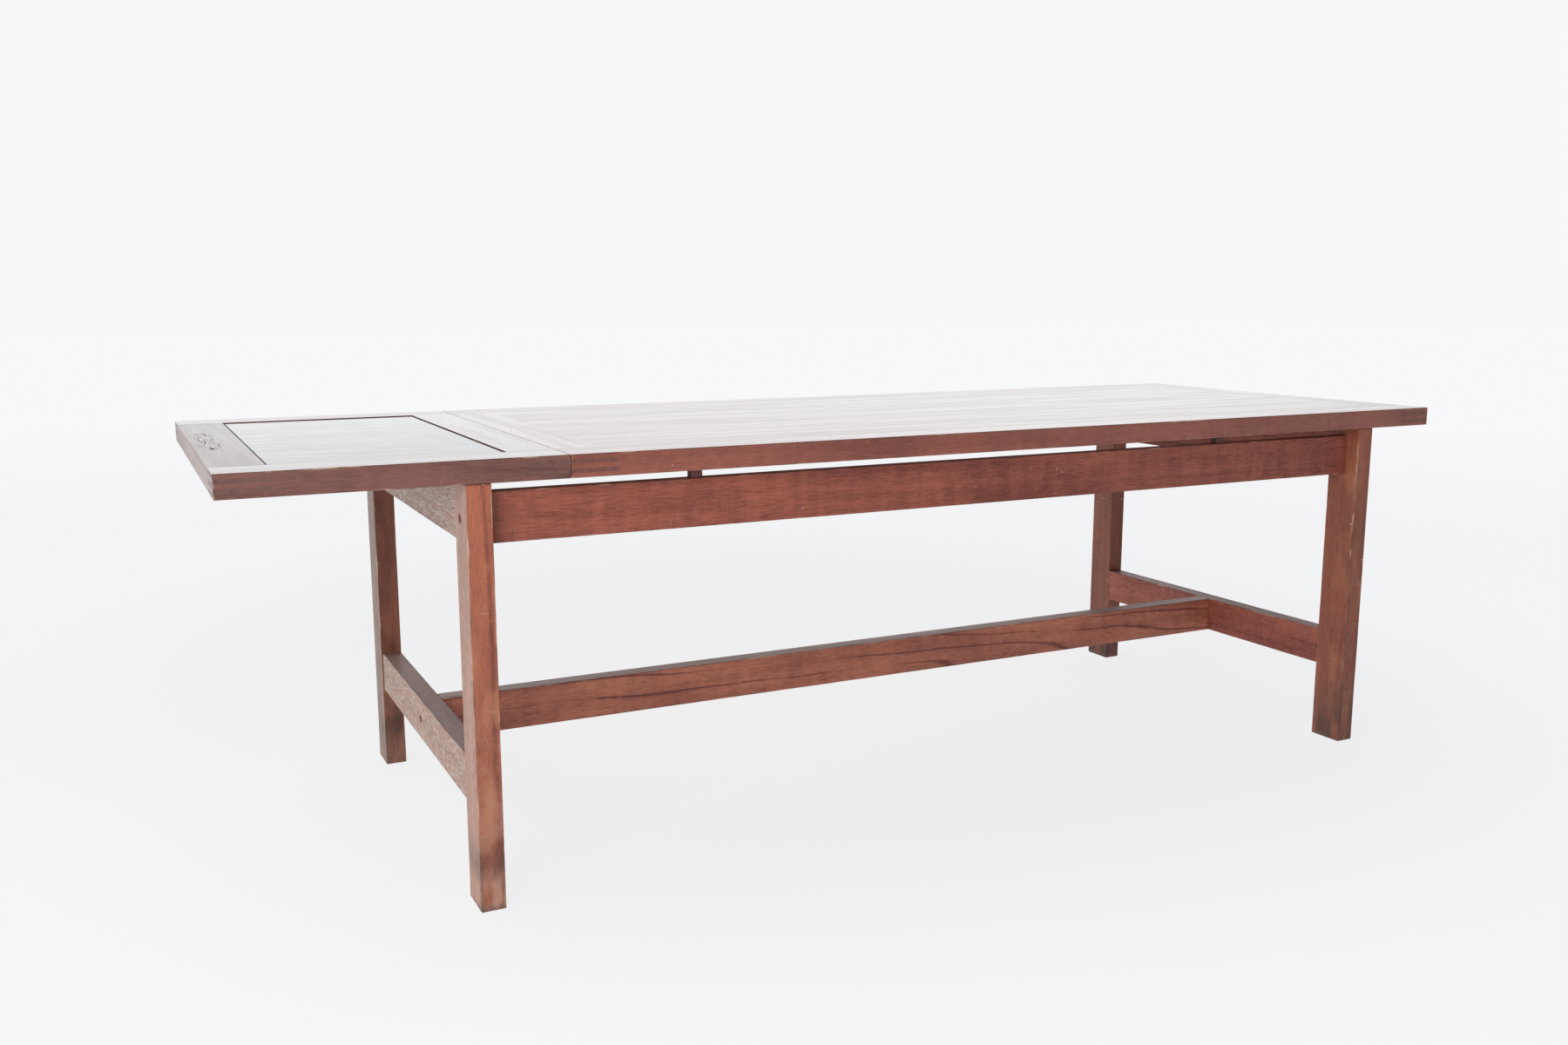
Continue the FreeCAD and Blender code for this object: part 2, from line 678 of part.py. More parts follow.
def make_main_top():
    """Frame and panel, then the runners, stops, pegs and screws that belong to it."""
    rail = make_long_rail("top_long_rail", "top_left", "top_length")
    node(rail, "top_rail_front")
    node(mirrored(rail, "top_long_rail_b", ACROSS), "top_rail_back")
    seam = make_cross_rail("top_seam_rail", "top_left", groove_at_left=False)
    drill_peg_holes(seam, 0, "peg_diameter", "peg_length / 2")
    node(seam, "top_rail_seam")
    node(make_cross_rail("top_end_rail", "top_right - rail_width", groove_at_left=True),
         "top_rail_end")

    field = make_panel("top_field_panel", "top_left", "top_length", "top_thickness")
    bite = "screw_length - runner_height"
    xs = screw_places(RUNNER_SCREWS, "runner_margin", "runner_length - runner_margin")
    for i, x in enumerate(xs):
        for side, y in (("front", "half_width - runner_spacing / 2"),
                        ("back", "half_width + runner_spacing / 2")):
            drill(field, f"pilot_{side}_{i}", "Z", 0, f"runner_inset + {x}", y,
                  "screw_diameter", bite)
    node(field, "top_field")

    runner = new_body("runner")
    pad_box(runner, "blank", 0, 0, 0, "runner_length", "runner_width", "runner_height")
    for i, x in enumerate(xs):
        drill_screw_hole(runner, f"screw_hole_{i}", x, "runner_width / 2", "runner_height")
    cut_box(runner, "groove", 0, 0, "key_low - key_play", "runner_length", "key_depth",
            "key_height + 2 * key_play")
    place(runner, "runner_left", "-runner_outer", "under - runner_height")
    node(runner, "runner_front")
    node(mirrored(runner, "runner_b", ACROSS), "runner_back")
    node(group("runner_screw_set", make_screw_row("runner_screw", xs, "runner_left",
                                                  "-runner_spacing / 2",
                                                  "under - runner_height", "screw_length")),
         "runner_screws")
    make_stops(runner)
    make_pegs()


def make_stops(runner):
    """Blocks under the runners that meet the inner faces of the end aprons."""
    closed_x = "end_apron_face + slide_travel + glide_gap"
    open_x = "2 * base_middle - end_apron_face - glide_gap - stop_length"
    screws = []
    level = "under - runner_height - stop_height"
    for word, x in (("closed", closed_x), ("open", open_x)):
        stop = new_body(f"stop_{word}")
        pad_box(stop, "block", 0, 0, 0, "stop_length", "runner_width", "stop_height")
        drill_screw_hole(stop, "screw_hole", "stop_length / 2", "runner_width / 2",
                         "stop_height")
        place(stop, x, "-runner_outer", level)
        node(stop, f"stop_{word}_front")
        node(mirrored(stop, f"stop_{word}_b", ACROSS), f"stop_{word}_back")
        drill(runner, f"stop_pilot_{word}", "Z", 0, f"{x} - runner_left + stop_length / 2",
              "runner_width / 2", "screw_diameter", "screw_length / 2 - stop_height / 2")
        screws += make_screw_row(f"stop_screw_{word}", ["stop_length / 2"], x,
                                 "-runner_spacing / 2", level,
                                 "screw_length / 2 + stop_height / 2")
    node(group("stop_screw_set", screws), "stop_screws")


def make_pegs():
    """Three wooden pegs that stand out of the main top's seam edge."""
    pegs = []
    for i in (-1, 0, 1):
        peg = cylinder(f"peg_{i + 2}", "peg_diameter", "peg_length")
        pegs.append(place(peg, "top_left - peg_length / 2", f"{i} * peg_spacing",
                          "under + top_thickness / 2", POINT_RIGHT))
    node(group("peg_set", pegs), "seam_pegs")


def make_leaf():
    """Frame, core, black sheet, and the two lopers that carry the leaf."""
    rail = make_long_rail("leaf_long_rail", "leaf_left", "leaf_length")
    node(rail, "leaf_rail_front")
    node(mirrored(rail, "leaf_long_rail_b", ACROSS), "leaf_rail_back")
    node(make_cross_rail("leaf_end_rail", "leaf_left", groove_at_left=False), "leaf_rail_end")
    seam = make_cross_rail("leaf_seam_rail", "leaf_right - rail_width", groove_at_left=True)
    peg_depth = "peg_length / 2 + 2 * peg_play"
    drill_peg_holes(seam, f"rail_width - ({peg_depth})", "peg_diameter + 2 * peg_play", peg_depth)

    core = make_panel("leaf_core_panel", "leaf_left", "leaf_length",
                      "top_thickness - insert_depth - insert_thick")
    xs = screw_places(LOPER_SCREWS, "loper_margin", "leaf_length - loper_inset - rail_width / 2")
    loper_y = "loper_inner + loper_width / 2"
    for i, x in enumerate(xs):
        target, shift = (core, 0) if i < LOPER_SCREWS - 1 else (seam, "leaf_length - rail_width")
        for side, y in (("front", f"half_width - ({loper_y})"),
                        ("back", f"half_width + {loper_y}")):
            drill(target, f"pilot_{side}_{i}", "Z", 0, f"loper_inset + {x} - ({shift})", y,
                  "screw_diameter", "screw_length - runner_height")
    node(seam, "leaf_rail_seam")
    node(core, "leaf_core")

    sheet_body = new_body("leaf_insert_sheet")
    edge = "rail_width + insert_play"
    pad_box(sheet_body, "sheet", edge, edge, "top_thickness - insert_depth - insert_thick",
            f"leaf_length - 2 * ({edge})", f"top_width - 2 * ({edge})", "insert_thick")
    place(sheet_body, "leaf_left", "-half_width", "under")
    node(sheet_body, "leaf_insert")
    make_lopers(xs, loper_y)


def make_lopers(xs, loper_y):
    """Bearers screwed under the leaf, with a tongue that slides in the runner's groove."""
    loper = new_body("loper")
    pad_box(loper, "blank", 0, 0, 0, "loper_length", "loper_width", "runner_height")
    tongue_start = "leaf_length - loper_inset + seam_gap + runner_inset"
    pad_box(loper, "tongue", tongue_start, "loper_width - key_play", "key_low",
            f"loper_length - ({tongue_start})", "key_depth + key_play", "key_height")
    start = "leaf_length - loper_inset"
    cut_box(loper, "relief", start, 0, "runner_height - glide_gap",
            f"loper_length - ({start})", "loper_width", "glide_gap")
    for i, x in enumerate(xs):
        drill_screw_hole(loper, f"screw_hole_{i}", x, "loper_width / 2", "runner_height")
    place(loper, "loper_left", "-loper_outer", "under - runner_height")
    node(loper, "loper_front")
    node(mirrored(loper, "loper_b", ACROSS), "loper_back")
    node(group("loper_screw_set", make_screw_row("loper_screw", xs, "loper_left",
                                                 f"-({loper_y})", "under - runner_height",
                                                 "screw_length")), "loper_screws")


# ---- build, check and write ---------------------------------------------------------------

def check_model():
    """Stop if any object failed or any sub-part has no valid shape."""
    for item in doc.Objects:
        if {"Invalid", "Error"} & set(item.State):
            raise RuntimeError(f"{item.Label} failed: {item.State}")
    for item in nodes:
        shape = item.Shape
        if shape.isNull() or not shape.isValid() or not shape.Solids:
            raise RuntimeError(f"{item.Label} has no valid solid")


def write_model():
    """Write each sub-part to its own file."""
    os.makedirs("parts", exist_ok=True)
    for item in nodes:
        item.Shape.exportStep(f"parts/{item.Label}.step")
        box = item.Shape.BoundBox
        print(f"{item.Label:20s} solids {len(item.Shape.Solids):2d} volume {item.Shape.Volume:12.0f}"
              f"  x {box.XMin:8.1f} {box.XMax:8.1f}  y {box.YMin:7.1f} {box.YMax:7.1f}"
              f"  z {box.ZMin:6.1f} {box.ZMax:6.1f}")


fill_sheet()
make_base()
make_main_top()
make_leaf()
doc.removeObject("probe")
doc.recompute()
check_model()
write_model()
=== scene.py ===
# %% [markdown]
# # An extendable dining table
# The frame of the table is finished work: every board, bolt and screw is already there at its
# true size. This lesson gives it its looks. It carves worn boards, mixes hardwood, black
# laminate and metal out of shader nodes, and lights the table like a studio photographer.
# Everything is in metres: X along the table, Y to the back, Z up.

# %% Load the frame
import json
import math
import bpy
import numpy as np
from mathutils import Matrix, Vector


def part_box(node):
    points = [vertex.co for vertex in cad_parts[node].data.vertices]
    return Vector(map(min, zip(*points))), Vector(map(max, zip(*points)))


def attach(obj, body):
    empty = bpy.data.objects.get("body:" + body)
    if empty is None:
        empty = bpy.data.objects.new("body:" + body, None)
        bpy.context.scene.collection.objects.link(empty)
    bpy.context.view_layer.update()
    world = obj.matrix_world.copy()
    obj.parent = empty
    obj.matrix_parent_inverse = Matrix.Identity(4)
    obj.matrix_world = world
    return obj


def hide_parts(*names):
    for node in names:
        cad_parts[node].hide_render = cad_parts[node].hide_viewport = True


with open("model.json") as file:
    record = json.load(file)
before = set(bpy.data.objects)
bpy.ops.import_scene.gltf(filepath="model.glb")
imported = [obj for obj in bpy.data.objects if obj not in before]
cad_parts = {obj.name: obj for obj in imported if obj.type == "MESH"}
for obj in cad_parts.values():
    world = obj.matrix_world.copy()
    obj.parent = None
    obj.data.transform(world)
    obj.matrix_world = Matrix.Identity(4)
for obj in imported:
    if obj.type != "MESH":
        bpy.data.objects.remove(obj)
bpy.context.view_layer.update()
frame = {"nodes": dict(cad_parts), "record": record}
nodes = frame["nodes"]
slots = {part["node"]: part["material_slot"] for part in frame["record"]["subparts"]}

# %% [markdown]
# ## The camera
# The eye is about a metre above the floor, two metres in front of the table and a little to the
# left of the leaf's near corner. A lens of about 32 mm on a 36 mm sensor gives the strong taper
# of a long table seen from close by. Placing the camera first means that every later choice can
# be judged through it.

# %% Camera
EYE = (-1.3486, -2.4668, 0.9716)
TILT = math.radians(80.391)     # 90 degrees would look level
TURN = math.radians(-26.536)    # to the right of straight back
SENSOR_MM, LENS_MM = 36.0, 31.75

camera_data = bpy.data.cameras.new("eye")
camera_data.sensor_width = SENSOR_MM
camera_data.lens = LENS_MM
camera = bpy.data.objects.new("eye", camera_data)
camera.location = EYE
camera.rotation_euler = (TILT, 0.0, TURN)
bpy.context.scene.collection.objects.link(camera)
bpy.context.scene.camera = camera
print("camera", tuple(round(v, 3) for v in camera.location))

# %% [markdown]
# ## A small language for shader nodes
# Wood, laminate and metal are all arithmetic on noise. Nodes wired by hand are hard to read,
# so one class wraps an output socket and lets Python's operators add the Math nodes. A second
# class is the tree of a material or of the world, and its one method adds any other node.

# %% Sockets that can be added and multiplied
class Wire:
    """An output socket. Arithmetic with numbers or other wires adds Math nodes."""

    def __init__(self, tree, socket):
        self.tree = tree
        self.socket = socket

    def math(self, operation, *others):
        terms = dict(enumerate((self, *others)))
        return self.tree.add("ShaderNodeMath", {"operation": operation}, terms)

    def __add__(self, other):
        return self.math("ADD", other)

    def __sub__(self, other):
        return self.math("SUBTRACT", other)

    def __mul__(self, other):
        return self.math("MULTIPLY", other)

    def __pow__(self, other):
        return self.math("POWER", other)

    def __rsub__(self, other):
        return self * -1.0 + other

    def __neg__(self):
        return self * -1.0

    __radd__ = __add__
    __rmul__ = __mul__

    def ramp(self, low, high):
        """0 at low, 1 at high, with a soft start and end."""
        return self.tree.add("ShaderNodeMapRange", {"interpolation_type": "SMOOTHSTEP"},
                             {"Value": self, "From Min": low, "From Max": high})

    def least(self, other):
        return self.math("MINIMUM", other)

    def most(self, other):
        return self.math("MAXIMUM", other)


class Tree:
    """The node tree of one material or world."""

    def __init__(self, owner):
        self.owner = owner
        self.owner.use_nodes = True
        self.tree = self.owner.node_tree
        self.tree.nodes.clear()

    def add(self, kind, settings=None, inputs=None, output=0):
        """Add a node: its type, its settings, then the values or wires of its sockets."""
        node = self.tree.nodes.new(kind)
        for key, value in (settings or {}).items():
            setattr(node, key, value)
        for key, value in (inputs or {}).items():
            if isinstance(value, Wire):
                self.tree.links.new(value.socket, node.inputs[key])
            else:
                node.inputs[key].default_value = value
        return Wire(self, node.outputs[output]) if node.outputs else None

    def vector(self, operation, a, b):
        return self.add("ShaderNodeVectorMath", {"operation": operation}, {0: a, 1: b})

    def mix(self, factor, a, b):
        """Mix two colours: the node's colour sockets are inputs 6 and 7, and output 2."""
        return self.add("ShaderNodeMix", {"data_type": "RGBA"}, {0: factor, 6: a, 7: b}, 2)

    def place(self):
        """The point on the object: in metres, from the table's own origin."""
        return self.add("ShaderNodeTexCoord", output="Object")

    def noise(self, place, scale, detail=2.0, roughness=0.5):
        return self.add("ShaderNodeTexNoise", None, {"Vector": place, "Scale": scale,
                                                     "Detail": detail, "Roughness": roughness})

    def finish(self, colour, roughness, bumps=(), **fixed):
        """Close the tree with a Principled shader; bumps are (height, strength, distance)."""
        inputs = {"Base Color": colour, "Roughness": roughness}
        normal = None
        for height, strength, distance in bumps:
            terms = {"Height": height, "Strength": strength, "Distance": distance}
            if normal:
                terms["Normal"] = normal
            normal = self.add("ShaderNodeBump", None, terms)
        if normal:
            inputs["Normal"] = normal
        inputs.update({key.replace("_", " "): value for key, value in fixed.items()})
        shader = self.add("ShaderNodeBsdfPrincipled", None, inputs)
        self.add("ShaderNodeOutputMaterial", None, {"Surface": shader})
        return self.owner


def material_tree(name):
    """An empty tree in a new material."""
    return Tree(bpy.data.materials.new(name))


def colour(red, green, blue):
    """A colour with alpha 1."""
    return (red, green, blue, 1.0)


print("shader language ready")

# %% [markdown]
# ## Hardwood
# Reddish-brown tropical hardwood is built up the way a tree builds it: growth rings round a
# pith that lies outside the board, long fibres, and open pores that show as short dark dashes.
# The pattern is a solid one, worked out in 3-D, so that a board shows streaks on its long faces
# and a dark, dull face on its end grain without any unwrapping. Each board gets its own pith,
# offset and colours, because no two boards come from the same place in the log; the four legs'
# colours are also scaled for painted light and shade.

# %% The board's own directions
ORDER = {"x": (0, 1, 2), "y": (1, 0, 2), "z": (2, 0, 1)}


def split_xyz(tree, vector):
    """The three components of a vector as wires."""
    split = tree.add("ShaderNodeSeparateXYZ", None, {0: vector})
    return [Wire(tree, split.socket.node.outputs[i]) for i in range(3)]


def streaks(tree, local, along, across, detail=2.0, roughness=0.5):
    """Noise squeezed across the grain: the two numbers are features per metre."""
    squeezed = tree.vector("MULTIPLY", local, (along, across, across))
    return tree.noise(squeezed, 1.0, detail, roughness)


def block_distances(tree, place, low, high):
    """How deep a point is inside a block, and how far it is from the nearest edge.

    The depth is the smallest of the three distances to the walls. On the surface that is
    zero, so the middle one of the three is the distance to the nearest edge.
    """
    centre = [(a + b) / 2 for a, b in zip(low, high)]
    half = [(b - a) / 2 for a, b in zip(low, high)]
    offset = tree.vector("SUBTRACT", place, centre)
    inside = tree.vector("SUBTRACT", half, tree.vector("ABSOLUTE", offset, (0, 0, 0)))
    a, b, c = split_xyz(tree, inside)
    return a.least(b).least(c), a.least(b).most(a.most(b).least(c))


print("grain may run along", sorted(ORDER))

# %% [markdown]
# ## Wear, with painted sheen and painted shade
# Wear sits on top of the figure and follows the shape of the board. Arrises rub pale in places
# and are darker in other places along them, cross-grain scratches catch the light, paint flecks
# land anywhere, the side that looks left towards the window gets a painted sheen, grey dust
# settles on faces that look up, and the feet fade, stain and lose their varnish to the mop.
# Places deep inside a board's box, such as bores, notches and grooves, are painted dark as shade.
# Each effect is one mask between 0 and 1 that mixes one colour in, and a board says how much of
# each it has had.

# %% How a board may look
LOOK = {
    "gloss": 0.42,     # roughness of the finish
    "coat": 0.10,      # varnish on top
    "rings": 50.0,     # growth rings per metre
    "line": 0.45,      # darkness of the ring lines
    "thin": 9.0,       # sharpness of the ring lines
    "slope": 0.02,     # how steeply the rings cross the board
    "relief": 0.0003,  # depth of the raised grain
    "ripple": 0.25,    # bands across the grain
    "worn": 1.0,       # pale arrises and scratches
    "bare": 0.0,       # orange patches with no varnish
    "bleach": 0.0,     # painted sheen on the side that looks left, towards the window
    "dust": 0.0,       # grey dust on faces that look up
    "foot": 0.0,       # stains and dirt near the floor
    "bare_foot": 0.0,  # varnish worn off above the floor
    "knot": None,      # centre and reach of a cracked knot
}
print("looks a board may have", len(LOOK))


# %% The figure of the wood
def figure(tree, parts, local, low, high, grain, rng, look):
    """How dark the wood is, 0 to 1, then its pores, and its broad bands.

    The radius is the distance from a pith outside the board, bent a little by slow noise. The
    growth rings are a sine of the radius, raised to a power that makes the lines thin.
    """
    pith = rng.uniform(0.05, 0.14, 2) * rng.choice([-1, 1], 2)
    middle = [(low[i] + high[i]) / 2 for i in ORDER[grain]]
    wander = streaks(tree, local, 1.3, 9.0, 3.0) - 0.5
    u = parts[1] - (middle[1] + pith[0]) + parts[0] * look["slope"] + wander * 0.05
    v = parts[2] - (middle[2] + pith[1]) + wander * 0.03
    radius = (u * u + v * v) ** 0.5
    wave = (radius * (look["rings"] * math.tau) + wander * 6.0).math("SINE") * 0.5 + 0.5
    line = (wave ** look["thin"]) * streaks(tree, local, 3.0, 14.0).ramp(0.35, 0.6) * look["line"]
    fleck = streaks(tree, local, 55.0, 480.0, 3.0, 0.6).ramp(0.3, 0.7)
    band = streaks(tree, local, 2.0, 34.0, 3.0, 0.55).ramp(0.3, 0.7)
    cloud = streaks(tree, local, 5.0, 9.0, 3.0).ramp(0.3, 0.7)
    ripple = streaks(tree, local, 46.0, 13.0, 2.0).ramp(0.35, 0.65) * look["ripple"]
    tone = fleck * 0.30 + band * 0.26 + cloud * 0.26 + ripple * 0.4 + line + 0.02
    pore = streaks(tree, local, 40.0, 1250.0).ramp(0.60, 0.70)
    return tone, pore, band


def knot_mask(tree, place, knot):
    """1 in the middle of a knot, with a ragged edge."""
    centre, reach = knot
    ragged = tree.noise(place, 70.0, 3.0, 0.6)
    scaled = tree.vector("DIVIDE", tree.vector("SUBTRACT", place, centre), reach)
    far = tree.add("ShaderNodeVectorMath", {"operation": "LENGTH"}, {0: scaled}, "Value")
    return (far + ragged * 1.6 - 0.8).ramp(1.0, 0.35)


# %% Feet
# Dark brown for stains and cracks, and for painted shade in recesses.
GRIME_AND_SHADE = colour(0.045, 0.026, 0.020)
FADED = colour(0.38, 0.200, 0.135)
MOPPED = colour(0.42, 0.215, 0.145)
SPLASH = colour(0.10, 0.07, 0.055)


def foot_wear(tree, base, height, patch, stains, chips, look):
    """Paler wood low on a leg, dark stains in it, a mopped band, and a dirty last centimetre."""
    faded = height.ramp(0.45, 0.10) * patch.ramp(0.35, 0.60)
    base = tree.mix(faded * 0.6 * look["bare_foot"], base, FADED)
    stain = height.ramp(0.15, 0.03) * stains.ramp(0.35, 0.6)
    base = tree.mix(stain * 0.75 * look["foot"], base, GRIME_AND_SHADE)
    mopped = height.ramp(0.075, 0.040) * chips.ramp(0.30, 0.55)
    base = tree.mix(mopped * look["bare_foot"], base, MOPPED)
    return tree.mix(height.ramp(0.012, 0.0) * 0.6 * look["foot"], base, SPLASH)


print("feet fade to", FADED[:3], "and are mopped to", MOPPED[:3])

# %% The timber itself
END_GRAIN = colour(0.100, 0.052, 0.045)
BARE = colour(0.46, 0.185, 0.090)
SAND = colour(0.56, 0.38, 0.28)
# The pale colour of the painted sheen on faces that look towards the window.
SHEEN_COLOUR = colour(0.455, 0.385, 0.320)
DUST = colour(0.215, 0.172, 0.165)
PAINT = colour(0.74, 0.66, 0.58)


def timber(name, box, grain, seed, dark, light, **special):
    """Hardwood for one board: figure first, then wear, painted sheen and painted shade, inside
    the box of its arrises.
    """
    look = LOOK | special
    rng = np.random.default_rng(seed)
    low, high = (tuple(corner) for corner in box)
    tree = material_tree(name)
    place = tree.place()
    spread = split_xyz(tree, place)
    parts = [spread[i] for i in ORDER[grain]]
    local = tree.add("ShaderNodeCombineXYZ", None, dict(enumerate(parts)))
    local = tree.vector("ADD", local, tuple(rng.uniform(-9, 9, 3)))

    tone, pore, band = figure(tree, parts, local, low, high, grain, rng, look)
    base = tree.mix(tone, colour(*light), colour(*dark))
    base = tree.mix(pore * 0.6, base, colour(*(0.4 * c for c in dark)))
    facing = split_xyz(tree, tree.add("ShaderNodeTexCoord", output="Normal"))
    end_grain = facing[ORDER[grain][0]].math("ABSOLUTE").ramp(0.6, 0.9)
    base = tree.mix(end_grain * 0.45, base, END_GRAIN)

    patch = tree.noise(place, 21.0, 4.0, 0.65)
    if look["knot"]:
        crack = streaks(tree, local, 16.0, 300.0, 4.0, 0.7).ramp(0.53, 0.58)
        dull = knot_mask(tree, place, look["knot"]) * crack
        base = tree.mix(dull, base, GRIME_AND_SHADE)
    if look["bare"]:
        naked = (streaks(tree, local, 5.0, 16.0, 3.0, 0.6) + patch * 0.25).ramp(0.62, 0.76)
        base = tree.mix(naked * look["bare"], base, BARE)
    ridge = streaks(tree, local, 48.0, 300.0, 3.0, 0.6)
    # Faces that look left, towards the window, get a painted sheen.
    if look["bleach"]:
        sheen = (-facing[0]).ramp(0.3, 0.9) * (ridge.ramp(0.38, 0.62) * 0.65 + 0.35)
        base = tree.mix(sheen * look["bleach"], base, SHEEN_COLOUR)
    if look["dust"]:
        lying = facing[2].ramp(0.5, 0.9) * (ridge.ramp(0.30, 0.60) * 0.5 + 0.5)
        base = tree.mix(lying * look["dust"], base, DUST)

    depth, edge = block_distances(tree, place, low, high)
    chips = streaks(tree, local, 13.0, 70.0, 3.0, 0.6)
    rub = (1.0 - edge.ramp(0.0004, 0.0030)) * chips.ramp(0.56, 0.66) * look["worn"]
    # Arrises are darker in places where they are not rubbed pale.
    dark_arris = (1.0 - edge.ramp(0.0002, 0.0022)) * chips.ramp(0.52, 0.40)
    base = tree.mix(dark_arris * 0.6, base, GRIME_AND_SHADE)
    # Points deep inside the board's box, such as bores, notches and the walls round the inset,
    # are painted dark: painted shade in recesses.
    base = tree.mix(depth.ramp(0.0005, 0.0030) * 0.93, base, GRIME_AND_SHADE)
    base = tree.mix(rub.least(1.0) * 0.75, base, SAND)
    scratch = streaks(tree, local, 620.0, 24.0, 1.0).ramp(0.715, 0.75) * patch.ramp(0.5, 0.6)
    base = tree.mix(scratch * look["worn"] * 0.6, base, SAND)
    cell = tree.add("ShaderNodeTexVoronoi", None, {"Vector": place, "Scale": 30.0}, "Distance")
    fleck = cell.ramp(0.05, 0.03) * patch.ramp(0.54, 0.57) * look["worn"]
    base = tree.mix(fleck * 0.8, base, PAINT)
    if look["foot"]:
        height = spread[2] + patch * 0.05 - 0.025
        stains = streaks(tree, local, 9.0, 40.0, 4.0)
        base = foot_wear(tree, base, height, patch, stains, chips, look)

    rough = band * 0.10 + pore * 0.15 + rub.least(1.0) * 0.2 + end_grain * 0.15 + look["gloss"]
    varnish = facing[2].ramp(0.2, 0.8) * 0.85 + 0.15
    if look["knot"]:
        rough, varnish = rough + dull * 0.4, varnish * (1.0 - dull)
    coating = varnish * look["coat"]
    relief = [(ridge - pore * 0.5, 1.0, look["relief"]), (patch, 0.10, 0.002)]
    return tree.finish(base, rough, relief, Coat_Weight=coating, Coat_Roughness=0.2, IOR=1.4)


print("timber is ready to be cut")

# %% [markdown]
# ## Worn boards
# A new board has crisp, even arrises. Years of chairs, hands and brooms round them unevenly,
# and that changing highlight is what makes a leg look old. So each board of the base is a
# profile carried along a path: a rectangle with four round corners, whose radii change along
# the board, closed at both ends over a rounded end arris.

# %% How an arris wears
AXIS = {"x": (0, 1, 2), "y": (1, 2, 0), "z": (2, 0, 1)}
WAVES, KNOCKS = 5, 6
WAVE_DEPTH = 0.12
LEAST_WEAR, MOST_WEAR = 0.5, 2.6


def wear_line(stations, rng, radius, strength):
    """Radius along one arris: the new radius times 1 plus slow sine waves plus local knocks.

    A knock is a bell curve, 3 to 9 mm wide, somewhere along the board.
    """
    span = stations.max() - stations.min()
    waves = sum(np.sin(stations * rng.uniform(3, 45) + rng.uniform(0, 6.3))
                for _ in range(WAVES))
    knocks = sum(np.exp(-((stations - stations.min() - rng.uniform(0, span))
                          / rng.uniform(0.003, 0.009)) ** 2) * rng.uniform(0.2, 1.2)
                 for _ in range(KNOCKS))
    wear = 1.0 + strength * (WAVE_DEPTH * waves + knocks)
    return radius * np.clip(wear, LEAST_WEAR, MOST_WEAR)


sample = wear_line(np.linspace(0.0, 0.7, 140), np.random.default_rng(0), 0.0013, 0.5)
print("an arris worn between", round(sample.min() * 1000, 2), "and",
      round(sample.max() * 1000, 2), "mm")

# %% The carried profile
STATION_STEP = 0.005
ARC_POINTS = 4
CORNERS = ((1, 1), (-1, 1), (-1, -1), (1, -1))    # signs of the section's axes, anticlockwise


def board_surface(low, high, axis, radius, strength, rng):
    """Points on a grid: stations along the board by places round its rounded rectangle.

    A point is the corner's centre plus its radius times the direction of the arc. The last
    stations at each end are a quarter turn of the end radius, which draws the section in.
    """
    along, first, second = AXIS[axis]
    low, high = np.array(low), np.array(high)
    turn = np.linspace(0, np.pi / 2, ARC_POINTS)
    nose = radius * (1 - np.cos(turn))
    count = max(int((high[along] - low[along]) / STATION_STEP), 4)
    inner = np.linspace(low[along] + radius, high[along] - radius, count)[1:-1]
    path = np.concatenate([low[along] + nose, inner, (high[along] - nose)[::-1]])
    draw = radius * (1 - np.sin(turn))
    inset = np.concatenate([draw, np.zeros(len(inner)), draw[::-1]])

    rings = []
    for k, (side, rise) in enumerate(CORNERS):
        r = wear_line(path, rng, radius, strength)[:, None]
        angle = (turn + k * np.pi / 2)[None, :]
        reach = inset[:, None]
        edge_a = (high[first] if side > 0 else low[first]) - side * (r + reach)
        edge_b = (high[second] if rise > 0 else low[second]) - rise * (r + reach)
        rings.append(np.stack([edge_a + r * np.cos(angle), edge_b + r * np.sin(angle)], -1))
    section = np.concatenate(rings, axis=1)
    points = np.empty(section.shape[:2] + (3,))
    points[..., along] = path[:, None]
    points[..., first] = section[..., 0]
    points[..., second] = section[..., 1]
    return points


def tube_faces(stations, around):
    """Quads between neighbouring stations, and one face over each end."""
    i, j = np.meshgrid(np.arange(stations - 1), np.arange(around), indexing="ij")
    a, b = i * around + j, i * around + (j + 1) % around
    quads = np.stack([a, b, b + around, a + around], -1).reshape(-1, 4).tolist()
    return quads + [list(range(around))[::-1],
                    list(range((stations - 1) * around, stations * around))]


def new_object(name, points, faces):
    """A smooth-shaded mesh object from rows of points and a list of faces."""
    mesh = bpy.data.meshes.new(name)
    mesh.from_pydata(points.reshape(-1, 3).tolist(), [], faces)
    mesh.update()
    mesh.shade_smooth()
    item = bpy.data.objects.new(name, mesh)
    bpy.context.scene.collection.objects.link(item)
    return item


def worn_board(name, low, high, axis, radius, strength, seed):
    """One worn board as an object."""
    points = board_surface(low, high, axis, radius, strength, np.random.default_rng(seed))
    return new_object(name, points, tube_faces(*points.shape[:2]))


print("a board has a station every", STATION_STEP * 1000, "mm and",
      ARC_POINTS * len(CORNERS), "points round it")

# %% [markdown]
# ## Drilled holes
# The bolt heads sit in counterbores and the barrel nuts in blind holes. A hole is cut with a
# Boolean modifier, the tool for a clean round edge on a finished board. The cutter is a
# cylinder from the same kind of grid, and it is thrown away afterwards. It reaches a little
# past the board's face, because two faces in one plane could leave a skin over the hole.

# %% Cutter and cut
OVERSHOOT = 0.001
CUTTER_SIDES = 40


def cylinder_surface(centre, axis, radius, length):
    """A circle carried from the centre along the axis."""
    along, first, second = AXIS[axis]
    angle = np.linspace(0, math.tau, CUTTER_SIDES, endpoint=False)
    points = np.empty((2, CUTTER_SIDES, 3))
    points[..., along] = (centre[along] + np.array([0.0, length]))[:, None]
    points[..., first] = centre[first] + radius * np.cos(angle)
    points[..., second] = centre[second] + radius * np.sin(angle)
    return points


